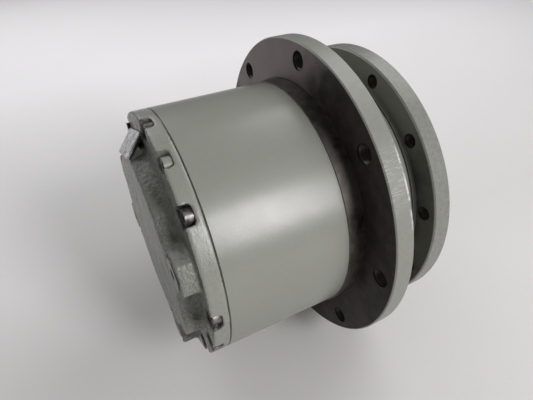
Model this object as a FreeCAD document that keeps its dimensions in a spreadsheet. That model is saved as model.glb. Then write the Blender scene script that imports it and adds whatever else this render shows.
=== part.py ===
"""Travel reduction gearbox: a fixed spindle carries a turning drum with two planetary stages inside.

Every piece is drawn in a bench frame whose +Z is the drive's axis, from the frame flange's back
face towards the end cover. LAID_DOWN turns that frame so that the cover points along -Y.
"""
import FreeCAD
import Part
import math
import os
import re
import Sketcher

# Millimetres and plain counts
SIZES = {
    "frame_flange_radius": 124.0,
    "frame_flange_thickness": 16.2,
    "frame_bolt_circle": 225.0,
    "frame_bolt_hole_radius": 5.5,
    "frame_bolt_count": 12,
    "shoulder_radius": 105.0,
    "shoulder_height": 3.5,
    "flange_edge_chamfer": 1.2,
    "seal_gap": 1.4,
    "drum_radius": 105.0,
    "collar_length": 31.1,
    "sprocket_flange_radius": 140.0,
    "sprocket_flange_thickness": 16.5,
    "sprocket_bolt_circle": 252.0,
    "sprocket_bolt_hole_radius": 7.5,
    "sprocket_bolt_count": 8,
    "pilot_radius": 106.0,
    "pilot_length": 13.6,
    "drum_length": 100.0,
    "seam_chamfer": 0.6,
    "cover_flange_thickness": 13.6,
    "dome_height": 14.0,
    "dome_foot_radius": 83.0,
    "dome_wall_radius": 79.0,
    "dome_foot_height": 3.5,
    "dome_top_radius": 77.0,
    "dome_edge_round": 1.6,
    "cover_wall": 8.0,
    "cover_spigot_wall": 6.0,
    "cover_cavity_radius": 66.0,
    "cover_bolt_circle": 195.0,
    "cover_bolt_radius": 4.0,
    "cover_bolt_head_radius": 6.0,
    "cover_bolt_head_height": 6.0,
    "cover_bolt_socket_radius": 3.4,
    "cover_bolt_socket_depth": 3.0,
    "cover_bolt_spotface_radius": 6.4,
    "cover_bolt_thread_length": 16.0,
    "cover_hole_depth": 18.0,
    "notch_width": 14.6,
    "notch_depth": 8.0,
    "notch_round": 3.0,
    "plug_lobe_outer_radius": 100.5,
    "plug_lobe_root_width": 40.0,
    "plug_lobe_width": 22.0,
    "plug_centre_radius": 84.5,
    "plug_recess_radius": 14.2,
    "plug_recess_depth": 3.6,
    "plug_thread_radius": 9.0,
    "plug_thread_length": 19.0,
    "plug_head_radius": 12.0,
    "plug_head_height": 2.0,
    "plug_socket_radius": 5.0,
    "plug_socket_depth": 6.0,
    "plug_washer_radius": 13.5,
    "plug_washer_thickness": 1.5,
    "lobe_root_radius": 70.0,
    "body_lobe_radius": 84.5,
    "body_lobe_root_width": 36.0,
    "body_lobe_width": 28.0,
    "plate_slope_top_radius": 71.2,
    "plate_slope_foot_radius": 87.7,
    "plate_pad_root_radius": 68.0,
    "plate_pad_depth": 10.5,
    "plate_pad_width": 48.0,
    "plate_flat_width": 62.0,
    "plate_width": 51.0,
    "plate_length": 22.1,
    "plate_start": 1.5,
    "plate_thickness": 1.2,
    "plate_backing_width": 49.0,
    "plate_backing_length": 18.9,
    "plate_backing_start": 2.3,
    "plate_backing_thickness": 1.7,
    "rim_screw_place_radius": 96.8,
    "rim_screw_radius": 1.5,
    "rim_screw_head_radius": 2.4,
    "rim_screw_head_height": 2.4,
    "rim_screw_length": 8.0,
    "seal_seat_radius": 80.0,
    "seal_recess_radius": 96.0,
    "fixed_seal_recess_depth": 7.7,
    "turning_seal_recess_depth": 10.0,
    "seal_ring_outer_radius": 90.0,
    "seal_ring_inner_radius": 82.5,
    "seal_face_clearance": 0.1,
    "seal_floor_gap": 0.8,
    "bearing_lip": 3.0,
    "bearing_seat_radius": 72.0,
    "bearing_bore_radius": 88.0,
    "bearing_width": 18.0,
    "bearing_spacing": 14.0,
    "bearing_shoulder_radius": 84.0,
    "bearing_pitch_radius": 80.0,
    "roller_radius": 3.8,
    "roller_length": 14.0,
    "roller_tilt": 12.0,
    "roller_count": 22,
    "roller_clearance": 0.3,
    "cage_thickness": 1.2,
    "spacer_radius": 76.0,
    "thread_radius": 70.0,
    "nut_radius": 80.0,
    "nut_width": 8.0,
    "nut_slot_width": 7.0,
    "nut_slot_depth": 4.0,
    "nut_clearance": 1.0,
    "motor_pilot_radius": 58.0,
    "motor_pilot_depth": 12.0,
    "motor_bolt_circle": 144.0,
    "motor_bolt_hole_radius": 4.25,
    "motor_bolt_hole_depth": 18.0,
    "motor_bolt_count": 6,
    "spindle_bore_radius": 45.0,
    "nose_radius": 34.0,
    "nose_bore_radius": 28.0,
    "nose_bore_length": 18.0,
    "nose_end_margin": 0.8,
    "tooth_module": 2.75,
    "pressure_angle": 20.0,
    "flank_clearance": 0.14,
    "ring_teeth": 57,
    "first_sun_teeth": 15,
    "second_sun_teeth": 21,
    "ring_gear_radius": 90.0,
    "ring_gear_length": 68.0,
    "ring_gear_shoulder": 7.0,
    "carrier_radius": 68.0,
    "second_carrier_thickness": 10.0,
    "first_carrier_thickness": 9.0,
    "circlip_thickness": 1.5,
    "circlip_height": 3.0,
    "planet_gap": 0.2,
    "second_planet_width": 26.0,
    "second_planet_stand": 3.5,
    "second_pin_radius": 11.0,
    "second_bush_radius": 14.5,
    "second_pin_overhang": 4.6,
    "first_planet_width": 16.0,
    "first_washer_thickness": 1.5,
    "first_pin_radius": 10.0,
    "first_bush_radius": 13.5,
    "first_pin_overhang": 4.2,
    "pin_running_clearance": 0.05,
    "washer_rim": 4.0,
    "carrier_gap": 2.0,
    "sun_hub_radius": 20.0,
    "sun_bore_radius": 13.0,
    "input_shaft_radius": 11.0,
    "input_shaft_start": 44.0,
    "motor_shaft_radius": 12.0,
    "sleeve_radius": 24.0,
    "sleeve_start": 20.0,
    "sleeve_length": 42.0,
    "stub_radius": 9.0,
    "stub_length": 9.5,
    "button_radius": 10.0,
    "button_length": 14.0,
    "button_clearance": 0.3,
    "button_boss_radius": 18.0,
}

PLANETS = 3
QUARTERS = 4
ROLLER_SIDES = 8
RING_SIDES = 16
SHANK_SIDES = 8
SOCKET_SIDES = 6
ROUND_STEPS = 3
# How far a cutting shape reaches past the face it opens
PAST = 1.0
# Places round the cover, in degrees; bolts, plugs and lobes follow its sixteen-part circle
COVER_BOLT_PLACES = (0.0, 45.0, 67.5)
PLUG_PLACES = (22.5, 202.5, 292.5)
BODY_LOBE_PLACES = (-22.5, 157.5)
PLATE_PLACE = 111.0
RIM_SCREW_PLACE = 128.0

# Depths from the frame flange's back face, as formulas of the sizes
SHOULDER_FACE = "frame_flange_thickness + shoulder_height"
DRUM_BACK = SHOULDER_FACE + " + seal_gap"
SPROCKET_BACK = DRUM_BACK + " + collar_length"
SPROCKET_FACE = SPROCKET_BACK + " + sprocket_flange_thickness"
PAINT_EDGE = SPROCKET_FACE + " + pilot_length"
SEAM = PAINT_EDGE + " + drum_length"
RIM = SEAM + " + cover_flange_thickness"
TOP = RIM + " + dome_height"
REAR_BEARING = DRUM_BACK + " + turning_seal_recess_depth + bearing_lip"
REAR_BEARING_END = REAR_BEARING + " + bearing_width"
FRONT_BEARING = REAR_BEARING_END + " + bearing_spacing"
FRONT_BEARING_END = FRONT_BEARING + " + bearing_width"
NUT_END = FRONT_BEARING_END + " + nut_width"
SPINDLE_FACE = NUT_END + " + nut_clearance"
SECOND_CARRIER_FACE = SPINDLE_FACE + " + second_carrier_thickness"
NOSE_END = SECOND_CARRIER_FACE + " + circlip_thickness + nose_end_margin"
SECOND_PLANET = SECOND_CARRIER_FACE + " + second_planet_stand"
SECOND_PLANET_END = SECOND_PLANET + " + second_planet_width"
SECOND_PIN_END = SECOND_PLANET_END + " + second_pin_overhang"
FIRST_CARRIER = SECOND_PIN_END + " + carrier_gap"
FIRST_CARRIER_FACE = FIRST_CARRIER + " + first_carrier_thickness"
FIRST_PLANET = FIRST_CARRIER_FACE + " + first_washer_thickness + planet_gap"
FIRST_PLANET_END = FIRST_PLANET + " + first_planet_width"
FIRST_PIN_END = FIRST_PLANET_END + " + first_pin_overhang"
RING_GEAR = NUT_END + " + ring_gear_shoulder"
RING_GEAR_END = RING_GEAR + " + ring_gear_length"
STUB_END = FIRST_PLANET_END + " + stub_length"
BUTTON = STUB_END + " + button_clearance"
BUTTON_END = BUTTON + " + button_length"
NOTCH_FLOOR = RIM + " - notch_depth"

LAID_DOWN = FreeCAD.Placement(FreeCAD.Vector(), FreeCAD.Rotation(FreeCAD.Vector(1, 0, 0), 90))
AXIS = FreeCAD.Vector(0, 0, 1)

doc = FreeCAD.newDocument("travel_gearbox")
sheet = doc.addObject("Spreadsheet::Sheet", "Sizes")
pieces = []


def fill_sheet():
    """Write each size to a row of its own, under its name."""
    for row, (name, amount) in enumerate(SIZES.items(), start=1):
        sheet.set(f"A{row}", name)
        sheet.set(f"B{row}", str(amount))
        sheet.setAlias(f"B{row}", name)
    doc.recompute()


def bound(formula):
    """The formula with every size's name pointing at its cell."""
    return re.sub(r"[a-z][a-z_]*", lambda word: "Sizes." + word.group(), formula)


def value(formula):
    """The number that a formula of sizes joined by + and - stands for."""
    total = 0.0
    for sign, term in re.findall(r"([+-]?)\s*([a-z_0-9.]+)", formula):
        amount = sheet.get(term) if term[0].isalpha() else float(term)
        total += -amount if sign == "-" else amount
    return total


def keep(piece):
    """Lay the finished piece along -Y and list it for export."""
    piece.Placement = LAID_DOWN.multiply(piece.Placement)
    pieces.append(piece)
    return piece


def origin_part(body, role):
    """The body's own origin plane or axis with this role."""
    return next(item for item in body.Origin.OriginFeatures if item.Role == role)


def fix_point(sketch, line, across, along):
    """Hold a line's first point at its radius and depth."""
    if across == "0":
        sketch.addConstraint(Sketcher.Constraint("PointOnObject", line, 1, -2))
    else:
        index = sketch.addConstraint(Sketcher.Constraint("DistanceX", -1, 1, line, 1, value(across)))
        sketch.setExpression(f"Constraints[{index}]", bound(across))
    if along == "0":
        sketch.addConstraint(Sketcher.Constraint("PointOnObject", line, 1, -1))
    else:
        index = sketch.addConstraint(Sketcher.Constraint("DistanceY", -1, 1, line, 1, value(along)))
        sketch.setExpression(f"Constraints[{index}]", bound(along))


def turned(label, outline):
    """A body turned about the drive's axis from (radius, depth) corners."""
    body = doc.addObject("PartDesign::Body", label)
    sketch = body.newObject("Sketcher::SketchObject", label + "_profile")
    sketch.AttachmentSupport = [(origin_part(body, "XZ_Plane"), "")]
    sketch.MapMode = "FlatFace"
    corners = [FreeCAD.Vector(value(across), value(along), 0) for across, along in outline]
    for start, end in zip(corners, corners[1:] + corners[:1]):
        sketch.addGeometry(Part.LineSegment(start, end), False)
    for line, (across, along) in enumerate(outline):
        follower = (line + 1) % len(outline)
        sketch.addConstraint(Sketcher.Constraint("Coincident", line, 2, follower, 1))
        fix_point(sketch, line, across, along)
    turn = body.newObject("PartDesign::Revolution", label + "_turn")
    turn.Profile = sketch
    turn.ReferenceAxis = (sketch, ["V_Axis"])
    turn.Angle = 360
    body.Tip = turn
    return body


def drill(body, name, radius, circle, places, repeats, start, depth):
    """Holes cut from the start depth back towards the frame flange, repeated round the axis."""
    sketch = body.newObject("Sketcher::SketchObject", name + "_circles")
    sketch.AttachmentSupport = [(origin_part(body, "XY_Plane"), "")]
    sketch.MapMode = "FlatFace"
    sketch.setExpression("AttachmentOffset.Base.z", bound(start))
    for number, place in enumerate(places):
        reach = value(circle) / 2
        turn = math.radians(place)
        centre = FreeCAD.Vector(reach * math.cos(turn), reach * math.sin(turn), 0)
        sketch.addGeometry(Part.Circle(centre, AXIS, value(radius)), False)
        index = sketch.addConstraint(Sketcher.Constraint("Radius", number, value(radius)))
        sketch.setExpression(f"Constraints[{index}]", bound(radius))
        for kind, share in (("DistanceX", math.cos(turn)), ("DistanceY", math.sin(turn))):
            if abs(share) < 1e-9:
                axis = -2 if kind == "DistanceX" else -1
                sketch.addConstraint(Sketcher.Constraint("PointOnObject", number, 3, axis))
                continue
            index = sketch.addConstraint(Sketcher.Constraint(kind, -1, 1, number, 3, reach * share))
            sketch.setExpression(f"Constraints[{index}]", f"{bound(circle)} / 2 * {share}")
    pocket = body.newObject("PartDesign::Pocket", name)
    pocket.Profile = sketch
    pocket.setExpression("Length", bound(depth))
    pattern = body.newObject("PartDesign::PolarPattern", name + "_pattern")
    pattern.Originals = [pocket]
    pattern.Axis = (origin_part(body, "Z_Axis"), [""])
    pattern.Angle = 360
    if isinstance(repeats, int):
        pattern.Occurrences = repeats
    else:
        pattern.setExpression("Occurrences", bound(repeats))
    body.Tip = pattern


def rod(name, radius, start, end):
    """A plain cylinder on the drive's axis between two depths."""
    cylinder = doc.addObject("Part::Cylinder", name)
    cylinder.setExpression("Radius", bound(radius))
    cylinder.setExpression("Placement.Base.z", bound(start))
    cylinder.setExpression("Height", f"({bound(end)}) - ({bound(start)})")
    return cylinder


def tube(label, outer, inner, start, end):
    """A plain ring between two depths."""
    ring = doc.addObject("Part::Cut", label)
    ring.Base = rod(label + "_outside", outer, start, end)
    ring.Tool = rod(label + "_bore", inner, start, end)
    return keep(ring)


def modelled(label, shape):
    """A piece whose shape is worked out in code."""
    feature = doc.addObject("Part::Feature", label)
    feature.Shape = shape
    return keep(feature)


def disc(radius, start, end, across=0.0, turn=0.0):
    """A cylinder along the axis, its centre at a radius and an angle in radians."""
    place = FreeCAD.Vector(across * math.cos(turn), across * math.sin(turn), start)
    return Part.makeCylinder(radius, end - start, place, AXIS)


def turned_copy(shape, degrees):
    """A copy of the shape, turned about the drive's axis."""
    copy = shape.copy()
    copy.rotate(FreeCAD.Vector(), AXIS, degrees)
    return copy


def polygon(sides, radius, depth):
    """Outline of a regular polygon about the drive's axis."""
    turns = [2 * math.pi * side / sides for side in range(sides)]
    corners = [FreeCAD.Vector(radius * math.cos(turn), radius * math.sin(turn), depth) for turn in turns]
    return Part.makePolygon(corners + corners[:1])


def prism(sides, radius, start, end):
    """A regular prism on the drive's axis between two depths."""
    return Part.Face(polygon(sides, radius, start)).extrude(FreeCAD.Vector(0, 0, end - start))


def across_prism(outline, width):
    """A prism from (radius, depth) corners, centred across the width."""
    corners = [FreeCAD.Vector(radius, -width / 2, depth) for radius, depth in outline]
    face = Part.Face(Part.makePolygon(corners + corners[:1]))
    return face.extrude(FreeCAD.Vector(0, width, 0))


def involute_half_angle(radius, teeth, thickening):
    """Half the angle of a tooth at a radius, for an involute of the sheet's module."""
    pitch = value("tooth_module") * teeth / 2
    pressure = math.radians(value("pressure_angle"))
    base = pitch * math.cos(pressure)
    at_radius = math.acos(min(1.0, base / radius))
    opening = math.tan(pressure) - pressure - math.tan(at_radius) + at_radius
    return math.pi / (2 * teeth) + opening + thickening / pitch


def tooth_points(teeth, root, tip, thickening):
    """Corners of one tooth about angle zero, as (radius, angle), from root to root."""
    base = value("tooth_module") * teeth / 2 * math.cos(math.radians(value("pressure_angle")))
    start = max(root, base)
    heights = [start, (start + tip) / 2, tip]
    flank = [(radius, involute_half_angle(radius, teeth, thickening)) for radius in heights]
    if root < start:
        flank.insert(0, (root, flank[0][1]))
    rising = [(radius, -angle) for radius, angle in flank]
    return rising + list(reversed(flank))


def toothed_face(teeth, root, tip, thickening, phase):
    """A face with the outline of a whole gear, a tooth's centre at the phase angle."""
    corners = []
    for tooth in range(teeth):
        centre = phase + 2 * math.pi * tooth / teeth
        for radius, angle in tooth_points(teeth, root, tip, thickening):
            turn = centre + angle
            corners.append(FreeCAD.Vector(radius * math.cos(turn), radius * math.sin(turn), 0))
    return Part.Face(Part.makePolygon(corners + corners[:1]))


def external_gear(teeth, start, width, phase):
    """A solid spur gear on the drive's axis."""
    module = value("tooth_module")
    pitch = module * teeth / 2
    face = toothed_face(teeth, pitch - 1.25 * module, pitch + module, -value("flank_clearance"), phase)
    face.translate(FreeCAD.Vector(0, 0, start))
    return face.extrude(FreeCAD.Vector(0, 0, width))


def planet_places(sun_teeth):
    """Angles where equal planets mesh with both the sun and the ring."""
    steps = sun_teeth + int(value("ring_teeth"))
    return [2 * math.pi * round(number * steps / PLANETS) / steps for number in range(PLANETS)]


def planet_phase(turn, planet_teeth):
    """Angle of a planet's tooth, for a ring gear with a tooth space at angle zero."""
    return turn * (1 - value("ring_teeth") / planet_teeth)


def sun_phase(planet_teeth, sun_teeth):
    """Angle of a sun's tooth, for a planet at angle zero."""
    return math.pi / sun_teeth * (planet_teeth - 1)


class Stage:
    """One planetary stage: tooth counts, carrier radius and the planets' places."""

    def __init__(self, word, sun_teeth):
        self.word = word
        self.sun_teeth = int(value(sun_teeth))
        self.planet_teeth = (int(value("ring_teeth")) - self.sun_teeth) // 2
        self.carrier_radius = value("tooth_module") * (self.sun_teeth + self.planet_teeth) / 2
        self.places = planet_places(self.sun_teeth)

    def at_planets(self, shape):
        """The shape, drawn on the axis, repeated at each planet's centre."""
        copies = []
        for turn in self.places:
            copy = shape.copy()
            copy.translate(self.centre(turn))
            copies.append(copy)
        return copies

    def centre(self, turn):
        """Centre of the planet at this angle."""
        reach = self.carrier_radius
        return FreeCAD.Vector(reach * math.cos(turn), reach * math.sin(turn), 0)


def make_spindle():
    """Fixed spindle: frame flange, seal recess, bearing journal and splined nose."""
    spindle = turned("spindle", [
        ("motor_pilot_radius", "0"),
        ("frame_flange_radius - flange_edge_chamfer", "0"),
        ("frame_flange_radius", "flange_edge_chamfer"),
        ("frame_flange_radius", "frame_flange_thickness - flange_edge_chamfer"),
        ("frame_flange_radius - flange_edge_chamfer", "frame_flange_thickness"),
        ("shoulder_radius", "frame_flange_thickness"),
        ("shoulder_radius", SHOULDER_FACE),
        ("seal_recess_radius", SHOULDER_FACE),
        ("seal_recess_radius", SHOULDER_FACE + " - fixed_seal_recess_depth"),
        ("seal_seat_radius", SHOULDER_FACE + " - fixed_seal_recess_depth"),
        ("seal_seat_radius", REAR_BEARING),
        ("bearing_seat_radius", REAR_BEARING),
        ("bearing_seat_radius", FRONT_BEARING_END),
        ("thread_radius", FRONT_BEARING_END),
        ("thread_radius", SPINDLE_FACE),
        ("nose_radius", SPINDLE_FACE),
        ("nose_radius", NOSE_END),
        ("nose_bore_radius", NOSE_END),
        ("nose_bore_radius", NOSE_END + " - nose_bore_length"),
        ("spindle_bore_radius", NOSE_END + " - nose_bore_length"),
        ("spindle_bore_radius", "motor_pilot_depth"),
        ("motor_pilot_radius", "motor_pilot_depth"),
    ])
    drill(spindle, "frame_holes", "frame_bolt_hole_radius", "frame_bolt_circle", (15.0,),
          "frame_bolt_count", "frame_flange_thickness", "frame_flange_thickness")
    drill(spindle, "motor_holes", "motor_bolt_hole_radius", "motor_bolt_circle", (0.0,),
          "motor_bolt_count", "motor_bolt_hole_depth", "motor_bolt_hole_depth")
    keep(spindle)


def make_drum_housing():
    """Turning drum with the sprocket flange, seal recess, bearing bores and ring gear bore."""
    shoulder = REAR_BEARING_END
    housing = turned("drum_housing", [
        ("seal_recess_radius", DRUM_BACK),
        ("drum_radius", DRUM_BACK),
        ("drum_radius", SPROCKET_BACK),
        ("sprocket_flange_radius - flange_edge_chamfer", SPROCKET_BACK),
        ("sprocket_flange_radius", SPROCKET_BACK + " + flange_edge_chamfer"),
        ("sprocket_flange_radius", SPROCKET_FACE + " - flange_edge_chamfer"),
        ("sprocket_flange_radius - flange_edge_chamfer", SPROCKET_FACE),
        ("pilot_radius", SPROCKET_FACE),
        ("pilot_radius", PAINT_EDGE),
        ("drum_radius", PAINT_EDGE),
        ("drum_radius", SEAM + " - seam_chamfer"),
        ("drum_radius - seam_chamfer", SEAM),
        ("ring_gear_radius", SEAM),
        ("ring_gear_radius", RING_GEAR),
        ("bearing_bore_radius", RING_GEAR),
        ("bearing_bore_radius", FRONT_BEARING),
        ("bearing_shoulder_radius", FRONT_BEARING),
        ("bearing_shoulder_radius", shoulder),
        ("bearing_bore_radius", shoulder),
        ("bearing_bore_radius", DRUM_BACK + " + turning_seal_recess_depth"),
        ("seal_recess_radius", DRUM_BACK + " + turning_seal_recess_depth"),
    ])
    drill(housing, "sprocket_holes", "sprocket_bolt_hole_radius", "sprocket_bolt_circle", (0.0,),
          "sprocket_bolt_count", SPROCKET_FACE, "sprocket_flange_thickness")
    drill(housing, "cover_threads", "cover_bolt_radius", "cover_bolt_circle", COVER_BOLT_PLACES,
          QUARTERS, SEAM, "cover_hole_depth")
    keep(housing)


def bearing(word, start, end, widening):
    """One tapered roller bearing: two races, and a cage that carries the rollers.

    The rollers lean outwards along +Z where widening is 1, and along -Z where it is -1.
    """
    near = value(start)
    far = value(end)
    middle = (near + far) / 2
    pitch = value("bearing_pitch_radius")
    lean = math.tan(math.radians(value("roller_tilt"))) * widening
    reach = value("roller_radius") + value("roller_clearance")

    def track(depth, offset):
        return pitch + offset + (depth - middle) * lean

    def race(outline):
        corners = [FreeCAD.Vector(radius, 0, depth) for radius, depth in outline]
        face = Part.Face(Part.makePolygon(corners + corners[:1]))
        return face.revolve(FreeCAD.Vector(), AXIS, 360)

    seat = value("bearing_seat_radius")
    bore = value("bearing_bore_radius")
    inner = [(seat, near), (track(near, -reach), near), (track(far, -reach), far), (seat, far)]
    outer = [(bore, near), (track(near, reach), near), (track(far, reach), far), (bore, far)]
    modelled(word + "_bearing_inner_race", race(inner))
    modelled(word + "_bearing_outer_race", race(outer))

    half = value("cage_thickness") / 2
    edge = (far - near - value("roller_length")) / 4
    low = near + edge
    high = far - edge
    band = race([(track(low, -half), low), (track(low, half), low),
                 (track(high, half), high), (track(high, -half), high)])
    rollers = [roller(middle, widening, turn, 0.0) for turn in roller_turns()]
    pockets = [roller(middle, widening, turn, value("roller_clearance")) for turn in roller_turns()]
    modelled(word + "_bearing_cage", band.cut(Part.makeCompound(pockets)))
    modelled(word + "_bearing_rollers", Part.makeCompound(rollers))


def roller_turns():
    """Angles of the rollers round a bearing, in degrees."""
    count = int(value("roller_count"))
    return [360.0 * number / count for number in range(count)]


def roller(middle, widening, turn, growth):
    """One roller, many-sided, or its pocket where growth is more than nothing."""
    length = value("roller_length") + 2 * growth
    tilt = value("roller_tilt") * widening
    radius = value("roller_radius") + growth
    taper = radius / value("bearing_pitch_radius") * length / 2 * math.sin(math.radians(tilt))
    ends = [polygon(ROLLER_SIDES, radius - taper, -length / 2),
            polygon(ROLLER_SIDES, radius + taper, length / 2)]
    solid = Part.makeLoft(ends, True, True)
    solid.rotate(FreeCAD.Vector(), FreeCAD.Vector(0, 1, 0), tilt)
    solid.translate(FreeCAD.Vector(value("bearing_pitch_radius"), 0, middle))
    return turned_copy(solid, turn)


def make_bearings():
    """Two main bearings, the spacer between them and the slotted nut that holds them."""
    bearing("rear", REAR_BEARING, REAR_BEARING_END, -1)
    bearing("front", FRONT_BEARING, FRONT_BEARING_END, 1)
    tube("bearing_spacer", "spacer_radius", "bearing_seat_radius", REAR_BEARING_END, FRONT_BEARING)
    start = value(FRONT_BEARING_END)
    end = value(NUT_END)
    nut = disc(value("nut_radius"), start, end).cut(disc(value("thread_radius"), start, end))
    width = value("nut_slot_width")
    depth = value("nut_slot_depth")
    slot = Part.makeBox(2 * depth, width, end - start,
                        FreeCAD.Vector(value("nut_radius") - depth, -width / 2, start))
    slots = [turned_copy(slot, 360.0 * number / QUARTERS) for number in range(QUARTERS)]
    modelled("bearing_nut", nut.cut(Part.makeCompound(slots)))


def make_seal():
    """Face seal: two lapped rings, each carried by its own squeezed rubber ring."""
    lap = SHOULDER_FACE + " + seal_gap"
    fixed_floor = SHOULDER_FACE + " - fixed_seal_recess_depth + seal_floor_gap"
    turning_floor = lap + " + turning_seal_recess_depth - seal_floor_gap"
    fixed_face = SHOULDER_FACE
    turning_face = SHOULDER_FACE + " + seal_face_clearance"
    tube("fixed_seal_ring", "seal_ring_outer_radius", "seal_ring_inner_radius", fixed_floor, fixed_face)
    tube("turning_seal_ring", "seal_ring_outer_radius", "seal_ring_inner_radius",
         turning_face, turning_floor)
    for word, near, far in (
        ("fixed", fixed_floor, fixed_face + " - seal_floor_gap"),
        ("turning", lap + " + seal_floor_gap", turning_floor),
    ):
        keep(turned(word + "_seal_rubber", [
            ("seal_ring_outer_radius", near),
            ("seal_recess_radius", near),
            ("seal_recess_radius", far),
            ("seal_ring_outer_radius", far),
        ]))


def make_ring_gear():
    """Internal gear pressed into the drum, with a tooth space at angle zero."""
    module = value("tooth_module")
    teeth = int(value("ring_teeth"))
    pitch = module * teeth / 2
    start = value(RING_GEAR)
    end = value(RING_GEAR_END)
    spaces = toothed_face(teeth, pitch - module, pitch + 1.25 * module, value("flank_clearance"), 0.0)
    spaces.translate(FreeCAD.Vector(0, 0, start))
    cutter = spaces.extrude(FreeCAD.Vector(0, 0, end - start))
    modelled("ring_gear", disc(value("ring_gear_radius"), start, end).cut(cutter))


def planet_set(stage, start, width, pin_radius, bush_radius):
    """Three planets, each with a bush pressed into it."""
    clearance = value("pin_running_clearance")
    for letter, turn in zip("abc", stage.places):
        phase = planet_phase(turn, stage.planet_teeth)
        blank = external_gear(stage.planet_teeth, start, width, phase)
        gear = blank.cut(disc(bush_radius, start, start + width))
        gear.translate(stage.centre(turn))
        bush = disc(bush_radius, start, start + width)
        bush = bush.cut(disc(pin_radius + clearance, start, start + width))
        bush.translate(stage.centre(turn))
        modelled(f"{stage.word}_planet_gear_{letter}", gear)
        modelled(f"{stage.word}_planet_bush_{letter}", bush)


def washer(pin_radius, start, end):
    """A flat-sided ring that fits over a pin on the drive's axis, before it goes to its planet."""
    bore = prism(RING_SIDES, pin_radius / math.cos(math.pi / RING_SIDES), start, end)
    return prism(RING_SIDES, pin_radius + value("washer_rim"), start, end).cut(bore)


def clip(radius, start):
    """A flat-sided retaining ring round a shaft of this radius."""
    end = start + value("circlip_thickness")
    whole = prism(RING_SIDES, radius + value("circlip_height"), start, end)
    bore = prism(RING_SIDES, radius / math.cos(math.pi / RING_SIDES), start, end)
    gap = Part.makeBox(2 * radius, radius / 2, end - start, FreeCAD.Vector(0, -radius / 4, start))
    return whole.cut(bore).cut(gap)


def make_second_stage():
    """Fixed carrier on the spindle's nose, with its planets."""
    stage = Stage("second", "second_sun_teeth")
    pin_radius = value("second_pin_radius")
    start = value(SECOND_PLANET)
    width = value("second_planet_width")
    face = value(SECOND_CARRIER_FACE)
    back = value(SPINDLE_FACE)
    plate = disc(value("carrier_radius"), back, face).cut(disc(value("nose_radius"), back, face))
    holes = stage.at_planets(disc(pin_radius, back, face))
    modelled("second_stage_carrier", plate.cut(Part.makeCompound(holes)))
    modelled("carrier_circlip", clip(value("nose_radius"), face))
    pin = disc(pin_radius, back, value(SECOND_PIN_END))
    modelled("second_planet_pins", Part.makeCompound(stage.at_planets(pin)))
    gap = value("planet_gap")
    inner = stage.at_planets(washer(pin_radius, face, start - gap))
    outer_start = start + width + gap
    outer_end = value(SECOND_PIN_END) - value("circlip_thickness") - value("nose_end_margin")
    outer = stage.at_planets(washer(pin_radius, outer_start, outer_end))
    modelled("second_planet_washers", Part.makeCompound(inner + outer))
    modelled("second_planet_circlips", Part.makeCompound(stage.at_planets(clip(pin_radius, outer_end))))
    planet_set(stage, start, width, pin_radius, value("second_bush_radius"))
    sun = external_gear(stage.sun_teeth, start, width, sun_phase(stage.planet_teeth, stage.sun_teeth))
    hub_end = value(FIRST_CARRIER_FACE)
    hub = disc(value("sun_hub_radius"), start + width, hub_end)
    bore = disc(value("sun_bore_radius"), start, hub_end)
    modelled("second_sun_gear", sun.fuse(hub).cut(bore))


def make_first_stage():
    """Turning carrier that drives the second sun, with its planets."""
    stage = Stage("first", "first_sun_teeth")
    pin_radius = value("first_pin_radius")
    back = value(FIRST_CARRIER)
    face = value(FIRST_CARRIER_FACE)
    start = value(FIRST_PLANET)
    width = value("first_planet_width")
    gap = value("planet_gap")
    plate = disc(value("carrier_radius"), back, face).cut(disc(value("sun_hub_radius"), back, face))
    holes = stage.at_planets(disc(pin_radius, back, face))
    modelled("first_stage_carrier", plate.cut(Part.makeCompound(holes)))
    pin = disc(pin_radius, back, value(FIRST_PIN_END))
    modelled("first_planet_pins", Part.makeCompound(stage.at_planets(pin)))
    inner = stage.at_planets(washer(pin_radius, face, start - gap))
    outer_start = start + width + gap
    outer_end = value(FIRST_PIN_END) - value("circlip_thickness") - value("nose_end_margin")
    outer = stage.at_planets(washer(pin_radius, outer_start, outer_end))
    modelled("first_planet_washers", Part.makeCompound(inner + outer))
    modelled("first_planet_circlips", Part.makeCompound(stage.at_planets(clip(pin_radius, outer_end))))
    planet_set(stage, start, width, pin_radius, value("first_bush_radius"))
    make_input(stage, start, width)


def make_input(stage, start, width):
    """Input shaft with the first sun cut on it, and the sleeve that takes the motor's shaft."""
    radius = value("input_shaft_radius")
    sun = external_gear(stage.sun_teeth, start, width, sun_phase(stage.planet_teeth, stage.sun_teeth))
    shaft = disc(radius, value("input_shaft_start"), start)
    stub = disc(value("stub_radius"), start + width, value(STUB_END))
    modelled("input_shaft", sun.fuse([shaft, stub]).removeSplitter())
    near = value("sleeve_start")
    far = near + value("sleeve_length")
    bore = disc(value("motor_shaft_radius"), near, value("input_shaft_start")).fuse(disc(radius, near, far))
    modelled("coupling_sleeve", disc(value("sleeve_radius"), near, far).cut(bore))
    modelled("sleeve_circlip", clip(radius, far))


def notch_cutter():
    """A bolt notch at angle zero, open at the rim, its floor corners rounded in short steps."""
    half = value("notch_width") / 2
    bend = value("notch_round")
    centre = value(NOTCH_FLOOR) + bend
    top = value(TOP)
    inner = value("cover_bolt_circle") / 2 - half
    turns = [math.pi / 2 * step / ROUND_STEPS for step in range(ROUND_STEPS + 1)]
    right = [(half - bend + bend * math.sin(turn), centre - bend * math.cos(turn)) for turn in turns]
    left = [(-across, depth) for across, depth in reversed(right)]
    outline = right + [(half, top), (-half, top)] + left
    corners = [FreeCAD.Vector(inner, across, depth) for across, depth in outline]
    face = Part.Face(Part.makePolygon(corners + corners[:1]))
    return face.extrude(FreeCAD.Vector(value("drum_radius") + PAST - inner, 0, 0))


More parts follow.
